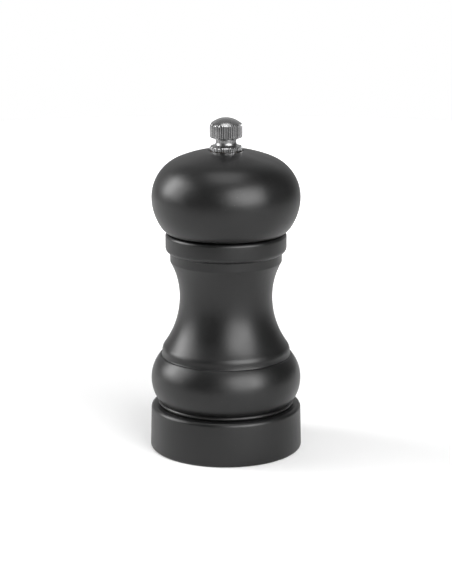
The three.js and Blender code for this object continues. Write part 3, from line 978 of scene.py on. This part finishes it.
def makeThumbNut():
    size = nutSet
    low, high = boxOf("thumb_nut")
    radius = outerRadius("thumb_nut")
    bore = outerRadius("nut_washer") - size["boreMargin"]
    bottom, boreTop = low[2] - size["seat"], high[2] - size["boreTop"]
    flangeTop = bottom + size["flangeHeight"]
    drumBottom = flangeTop + size["neckHeight"]
    drumTop = drumBottom + size["drumHeight"]
    bevel, drumBevel = size["flangeBevel"], size["drumBevel"]
    domeEdge, domeRise = radius - drumBevel, high[2] - drumTop
    neck, fillet, bead = size["neckRadius"], size["fillet"], size["beadRound"]
    threadTop = bottom + size["threadLength"]

    points = [(0.0, boreTop, ""), (bore, boreTop - 0.8, ""), (bore, threadTop + 0.3, "")]
    points += linePoints((bore, threadTop), (bore, bottom + 0.25), 0.1, "thread")
    points += tagged("", (bore + 0.25, bottom), (radius - 0.55, bottom))
    points += linePoints((radius - 0.25, bottom + 0.1), (radius, bottom + bevel), 0.15, "knurl")
    points += linePoints((radius, bottom + bevel), (radius, flangeTop - bevel), 0.4, "knurl")[1:]
    points += linePoints((radius, flangeTop - bevel), (radius - 0.3, flangeTop - 0.06), 0.12, "knurl")[1:]
    points += tagged("", (radius - 0.75, flangeTop), (neck + fillet * 1.12, flangeTop))
    points += arcPoints(neck + fillet, flangeTop + fillet, fillet, 262, 180, "", 0.12)
    # a small bead runs round the neck where it meets the drum
    points += arcPoints(neck, drumBottom - bead * 1.6, bead, -80, 80, "", 0.06)
    points += tagged("", (neck + 0.02, drumBottom), (radius - 0.6, drumBottom))
    points += linePoints((radius - 0.25, drumBottom + 0.08), (radius, drumBottom + drumBevel), 0.12, "knurl")
    points += linePoints((radius, drumBottom + drumBevel), (radius, drumTop - drumBevel), 0.5, "knurl")[1:]
    points += linePoints((radius, drumTop - drumBevel), (domeEdge, drumTop), 0.09, "knurl")[1:]
    domeRound = (domeEdge ** 2 + domeRise ** 2) / (2 * domeRise)
    domeStart = degrees(acos(domeEdge / domeRound))
    points += arcPoints(0.0, high[2] - domeRound, domeRound, domeStart, 90, "", 0.2)[1:-1]
    points.append((0.0, high[2], ""))

    def shape(r, z, angle, tag):
        if tag == "knurl":
            return r - size["toothDepth"] * knurl(angle, size)
        if tag == "thread":
            turns = (z - bottom) / size["threadPitch"] - angle / (2 * pi)
            fade = max(0.0, min(1.0, (threadTop - z) / 0.5))
            return r + size["threadDepth"] * fade * (abs((turns % 1.0) - 0.5) * 2 - 0.5)
        return r

    # painted shade: the knurl valleys are darkened, the knurl crests keep the bright plating, and the plain
    # plating is dulled evenly
    def grime(angle, tag):
        return min(1.0, knurl(angle, size) * 1.8) if tag == "knurl" else size["plainDulling"]

    piece = spin("thumbNutKnurled", points, size["segments"], [chrome], shape, grime=grime)
    place(piece, "nut_set", "chrome", "thumb_nut")


makeThumbNut()
print("rings and thumb nut ready")


spindleSet = {
    "segments": 96,
    "side": 5.0,
    "cornerRound": 0.45,
    "threadRadius": 2.35,
    "threadLength": 10.5,
    "pitch": 0.8,
    "threadDepth": 0.42,
    "tailRadius": 2.2,
    "shoulder": 0.35,
}


def squareRadius(angle, half, corner):
    # a square with rounded corners, seen from its centre
    c, s = abs(cos(angle)), abs(sin(angle))
    inner = half - corner
    flat = half / max(c, s)
    if min(c, s) * flat <= inner:
        return flat
    middle = inner * (c + s)
    return middle + sqrt(max(0.0, middle ** 2 - 2 * inner ** 2 + corner ** 2))


def makeSpindle():
    size = spindleSet
    low, high = boxOf("spindle")
    squareBottom = boxOf("rotor")[0][2]
    squareTop = high[2] - size["threadLength"]
    half = size["side"] / 2
    thread, tail, step = size["threadRadius"], size["tailRadius"], size["shoulder"]
    points = [(0.0, low[2], ""), (tail - 0.5, low[2], ""), (tail, low[2] + 0.5, "")]
    points += linePoints((tail, low[2] + 0.6), (tail, squareBottom - 0.05), 1.0)
    points += [(tail + 0.02, squareBottom, ""), (half, squareBottom, "square")]
    points += linePoints((half, squareBottom + 0.3), (half, squareTop - step), 4.0, "square")
    root = thread - 0.4
    points += tagged("", (thread + 0.15, squareTop), (root, squareTop + 0.5), (root, squareTop + 1.2))
    points += linePoints((thread, squareTop + 1.5), (thread, high[2] - 0.7), 0.08, "thread")
    points += arcPoints(0.0, high[2] - 3.2, 3.2, 58, 90, "", 0.3)[:-1]
    points += [(0.0, high[2], "")]

    def shape(r, z, angle, tag):
        if tag == "square":
            return squareRadius(angle, half, size["cornerRound"])
        if tag == "thread":
            turns = (z - squareTop) / size["pitch"] - angle / (2 * pi)
            crest = min(1.0, abs((turns % 1.0) - 0.5) * 2 / 0.85)
            ends = max(0.0, min(1.0, (high[2] - 0.5 - z) / 0.5, (z - squareTop - 1.2) / 0.4))
            return r - size["threadDepth"] * (1 - crest * ends)
        return r

    piece = spin("spindleBar", points, size["segments"], [steel], shape)
    place(piece, "spindle_set", "steel", "spindle")


makeSpindle()


burrSet = {
    "rotorTeeth": 12,
    "statorTeeth": 18,
    "rotorDepth": 0.85,
    "statorDepth": 0.6,
    "twist": 0.16,
    "rotorBottom": 10.2,
    "rotorTop": 5.6,
    "gap": 1.036,
    "squareHalf": 2.8,
}


def sawTooth(phase):
    phase = phase % 1.0
    return phase / 0.82 if phase < 0.82 else (1.0 - phase) / 0.18


def makeRotor():
    size = burrSet
    low, high = boxOf("rotor")
    bottom, top = low[2], high[2]
    foot = (size["rotorBottom"] - 0.25, bottom + 0.25)
    side = linePoints(foot, (size["rotorTop"], top - 0.35), 0.3, "tooth")
    points = linePoints((size["squareHalf"], top), (size["squareHalf"], bottom), 1.5, "square")
    points += [(7.6, bottom, ""), (size["rotorBottom"] - 0.9, bottom + 0.02, "")] + side
    points += [(size["rotorTop"] - 0.95, top, "")]

    def shape(r, z, angle, tag):
        if tag == "square":
            return squareRadius(angle, size["squareHalf"], 0.4)
        if tag == "tooth":
            turns = size["rotorTeeth"] * (angle - size["twist"] * (z - bottom)) / (2 * pi)
            # short fine teeth at the foot, long feeding flutes above
            fine = max(0.0, min(1.0, (bottom + 3.2 - z) / 0.8))
            coarse = size["rotorDepth"] * sawTooth(turns) * (1 - 0.55 * fine)
            return r - coarse - 0.3 * fine * sawTooth(turns * 3)
        return r

    piece = spin("rotorBurr", points, 288, [burrSteel], shape)
    place(piece, "spindle_set", "burr_steel", "rotor")


def makeStator():
    size = burrSet
    low, high = boxOf("stator")
    bottom, top = low[2], high[2]
    rotorLow = boxOf("rotor")[0][2]
    slope = (size["rotorBottom"] - size["rotorTop"]) / (boxOf("rotor")[1][2] - rotorLow)
    outer = outerRadius("stator")

    def inner(z):
        return size["rotorBottom"] + slope * (rotorLow - z) + size["gap"]

    depth = size["statorDepth"]
    points = tagged("", (inner(bottom) + depth, bottom), (outer - 0.3, bottom), (outer, bottom + 0.3))
    points += tagged("", (outer, top - 0.3), (outer - 0.3, top), (inner(top) + depth + 0.6, top))
    points += linePoints((inner(top - 0.5), top - 0.5), (inner(bottom + 0.3), bottom + 0.3), 0.35, "tooth")

    def shape(r, z, angle, tag):
        if tag == "tooth":
            turns = size["statorTeeth"] * (angle + size["twist"] / 2 * (z - bottom)) / (2 * pi)
            fine = max(0.0, min(1.0, (bottom + 4.2 - z) / 0.8))
            coarse = depth * sawTooth(turns) * (1 - 0.5 * fine)
            return r + coarse + 0.25 * fine * sawTooth(turns * 3)
        return r

    piece = spin("statorBurr", points, 360, [burrSteel], shape)
    place(piece, "mill_body", "burr_steel", "stator")


makeRotor()
makeStator()
print("spindle and burrs ready")


housingSet = {
    "wall": 2.4,
    "plate": 2.5,
    "hole": 3.94,
    "hub": 5.94,
    "windowOuter": 11.8,
    "spoke": 3.0,
    "ease": 0.3,
}


def windowOutline(size, middle):
    # one window between two spokes, its corners cut where the spokes' sides meet the arcs
    inner, outer, half = size["hub"], size["windowOuter"], size["spoke"] / 2
    reach = pi / 3
    outline = []
    for radius, way in ((inner, 1), (outer, -1)):
        swing = reach - asin(half / radius)
        count = 18
        for i in range(count + 1):
            angle = middle + way * (-swing + 2 * swing * i / count)
            outline.append((radius * cos(angle), radius * sin(angle)))
    return outline


def makeHousing():
    size = housingSet
    low, high = boxOf("grinder_housing")
    outer = outerRadius("grinder_housing")
    inner = outer - size["wall"]
    plateBottom = high[2] - size["plate"]
    cupTop = plateBottom - 0.02
    points = tagged("", (inner, low[2]), (outer, low[2]), (outer, cupTop), (inner, cupTop))
    cup = spin("housingCup", easeCorners(points, size["ease"]), 144, [steel])
    place(cup, "mill_body", "steel")
    outlines = [circleOutline(outer - 0.05, 144), circleOutline(size["hole"], 72)]
    outlines += [windowOutline(size, radians(angle)) for angle in (270, 30, 150)]
    spider = plate("housingSpider", outlines, plateBottom, high[2], [steel], 0.2)
    place(spider, "mill_body", "steel", "grinder_housing")


makeHousing()


crossbarSet = {
    "screwPlace": 19.6,
    "screwHole": 1.5,
    "bushingHole": 4.5,
    "edge": 0.15,
}


def makeCrossbar():
    low, high = boxOf("crossbar")
    half, end = (high[0] - low[0]) / 2, (high[1] - low[1]) / 2
    outline = []
    for centre, start in ((half - end, -90), (end - half, 90)):
        for i in range(37):
            angle = radians(start + 5 * i)
            outline.append((centre + end * cos(angle), end * sin(angle)))
    holes = [circleOutline(crossbarSet["bushingHole"], 72)]
    reach = crossbarSet["screwPlace"]
    holes += [circleOutline(crossbarSet["screwHole"], 40, x) for x in (-reach, reach)]
    bar = plate("crossbarStrip", [outline] + holes, low[2], high[2], [steel], crossbarSet["edge"])
    place(bar, "mill_body", "steel", "crossbar")


bushingSet = {
    "bore": 2.6,
    "tube": 4.2,
    "flange": 1.0,
    "ease": 0.2,
}


def makeBushing():
    low, high = boxOf("crossbar_bushing")
    outer = outerRadius("crossbar_bushing")
    flangeTop = low[2] + bushingSet["flange"]
    bore, tube = bushingSet["bore"], bushingSet["tube"]
    points = tagged("", (bore, low[2]), (outer, low[2]), (outer, flangeTop))
    points += tagged("", (tube, flangeTop), (tube, high[2]), (bore, high[2]))
    piece = spin("bushingTurned", easeCorners(points, bushingSet["ease"]), 96, [brass])
    place(piece, "mill_body", "brass", "crossbar_bushing")


circlipSet = {
    "inner": 2.5,
    "opening": 42,
    "edge": 0.12,
}


def makeCirclip():
    low, high = boxOf("rotor_circlip")
    outer = outerRadius("rotor_circlip")
    half = circlipSet["opening"] / 2
    angles = [radians(half + (360 - 2 * half) * i / 60) for i in range(61)]
    outline = [(outer * cos(a), outer * sin(a)) for a in angles]
    outline += [(circlipSet["inner"] * cos(a), circlipSet["inner"] * sin(a)) for a in reversed(angles)]
    piece = plate("circlipRing", [outline], low[2], high[2], [burrSteel], circlipSet["edge"])
    place(piece, "spindle_set", "burr_steel", "rotor_circlip")


makeCrossbar()
makeBushing()
makeCirclip()


drivePlateSet = {
    "holeHalf": 2.9,
    "holeCorner": 0.35,
    "screwPlace": 7.85,
    "screwHole": 1.3,
    "edge": 0.14,
}


def makeDrivePlate():
    size = drivePlateSet
    low, high = boxOf("drive_plate")
    square = []
    for i in range(96):
        angle = 2 * pi * i / 96
        r = squareRadius(angle, size["holeHalf"], size["holeCorner"])
        square.append((r * cos(angle), r * sin(angle)))
    outlines = [circleOutline(outerRadius("drive_plate"), 144), square]
    outlines += [circleOutline(size["screwHole"], 40, x=side * size["screwPlace"]) for side in (-1, 1)]
    piece = plate("drivePlateStamped", outlines, low[2], high[2], [steel], size["edge"])
    place(piece, "head_set", "steel", "drive_plate")


makeDrivePlate()


screwSet = {
    "headHeight": 0.9,
    "slotWidth": 0.5,
    "slotDepth": 0.45,
    "threadPitch": 0.9,
    "threadDepth": 0.25,
    "segments": 64,
}


# a pan-headed wood screw with its head down and a straight slot
def makeScrew(node, body, shank, slotTurn):
    size = screwSet
    low, high = boxOf(node)
    x, y = (low[0] + high[0]) / 2, (low[1] + high[1]) / 2
    headRadius = (high[0] - low[0]) / 2
    headTop = low[2] + size["headHeight"]
    points = [(0.0, low[2], "")]
    points += [(headRadius * 0.35, low[2] + 0.01, ""), (headRadius * 0.7, low[2] + 0.08, "")]
    points += arcPoints(headRadius - 0.4, low[2] + 0.55, 0.4, -65, 0, "", 0.1)
    points += [(headRadius, headTop - 0.08, ""), (headRadius - 0.08, headTop, ""), (shank + 0.1, headTop, "")]
    points += linePoints((shank, headTop + 0.1), (shank, high[2] - 1.6), 0.15, "thread")
    points += [(shank * 0.55, high[2] - 0.8, ""), (0.0, high[2], "")]

    def shape(r, z, angle, tag):
        if tag == "thread":
            turns = (z - headTop) / size["threadPitch"] - angle / (2 * pi)
            return r - size["threadDepth"] * min(1.0, abs((turns % 1.0) - 0.5) * 2 / 0.8)
        return r

    piece = spin(node.replace("_screw_", "Screw").replace("drive_plate", "drivePlate"), points,
                 size["segments"], [steel], shape, centre=(x, y))
    cutSlot(piece, x, y, low[2], headRadius, slotTurn)
    place(piece, body, "steel", node)


def cutSlot(piece, x, y, bottom, headRadius, turn):
    size = screwSet
    work = bmesh.new()
    bmesh.ops.create_cube(work, size=1.0)
    for vert in work.verts:
        px = vert.co.x * (headRadius * 2 + 1)
        py = vert.co.y * size["slotWidth"]
        pz = bottom - 1.0 + (vert.co.z + 0.5) * (size["slotDepth"] + 1.0)
        c, s = cos(turn), sin(turn)
        vert.co = ((x + px * c - py * s) * mm, (y + px * s + py * c) * mm, pz * mm)
    mesh = bpy.data.meshes.new("slotTool")
    work.to_mesh(mesh)
    work.free()
    tool = newObject("slotTool", mesh)
    modifier = piece.modifiers.new("slot", "BOOLEAN")
    modifier.operation = "DIFFERENCE"
    modifier.solver = "EXACT"
    modifier.object = tool
    cutMesh = evaluatedMesh(piece)
    piece.modifiers.clear()
    old = piece.data
    cutMesh.name = old.name
    piece.data = cutMesh
    bpy.data.meshes.remove(old)
    bpy.data.objects.remove(tool)
    bpy.data.meshes.remove(mesh)


makeScrew("crossbar_screw_1", "mill_body", 1.2, 0.5)
makeScrew("crossbar_screw_2", "mill_body", 1.2, 2.1)
makeScrew("drive_plate_screw_1", "head_set", 1.0, 1.2)
makeScrew("drive_plate_screw_2", "head_set", 1.0, 2.8)
print("grinder housing, crossbar, drive plate and screws ready")


springSet = {
    "wire": 0.9,
    "turns": 4.0,
    "closedTurns": 0.9,
    "sides": 14,
    "stepsPerTurn": 40,
    "travel": 1.6,
    "endLift": 0.6,
    "rubbed": 0.15,
}


def makeSpring():
    size = springSet
    low, high = boxOf("spring")
    wire = size["wire"] / 2
    radius = (high[0] - low[0]) / 2 - wire
    total = size["turns"] + 2 * size["closedTurns"]
    bottom, top = low[2] + wire, high[2] - wire
    steps = int(total * size["stepsPerTurn"])
    verts, faces = [], []
    closed, sides = size["closedTurns"], size["sides"]
    endRise = size["wire"] * closed * size["endLift"]

    def level(turn):
        # the end turns lie close, the middle ones are evenly open
        if turn < closed:
            return bottom + endRise * turn / closed
        if turn > total - closed:
            return top - endRise * (total - turn) / closed
        share = (turn - closed) / size["turns"]
        return bottom + endRise + (top - bottom - 2 * endRise) * share

    for i in range(steps + 1):
        turn = total * i / steps
        angle = 2 * pi * turn
        centre = Vector((radius * cos(angle), radius * sin(angle), level(turn)))
        outward = Vector((cos(angle), sin(angle), 0.0))
        for k in range(sides):
            spinAngle = 2 * pi * k / sides
            offset = outward * cos(spinAngle) + Vector((0, 0, 1)) * sin(spinAngle)
            verts.append((centre + offset * wire) * mm)
    for i in range(steps):
        for k in range(sides):
            a, b = i * sides + k, i * sides + (k + 1) % sides
            faces.append((a, a + sides, b + sides, b))
    faces.append(list(range(sides)))
    faces.append([steps * sides + k for k in reversed(range(sides))])
    mesh = bpy.data.meshes.new("springCoil")
    mesh.from_pydata(verts, [], faces)
    work = bmesh.new()
    work.from_mesh(mesh)
    bmesh.ops.recalc_face_normals(work, faces=work.faces)
    work.to_mesh(mesh)
    work.free()
    paint(mesh, "edge", [size["rubbed"]] * len(mesh.vertices))
    finishMesh(mesh, [steel])
    piece = newObject("springCoil", mesh)
    place(piece, "turning_set", "steel", "spring")
    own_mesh(piece)


makeSpring()
print("spring ready")

print("all pieces ready")
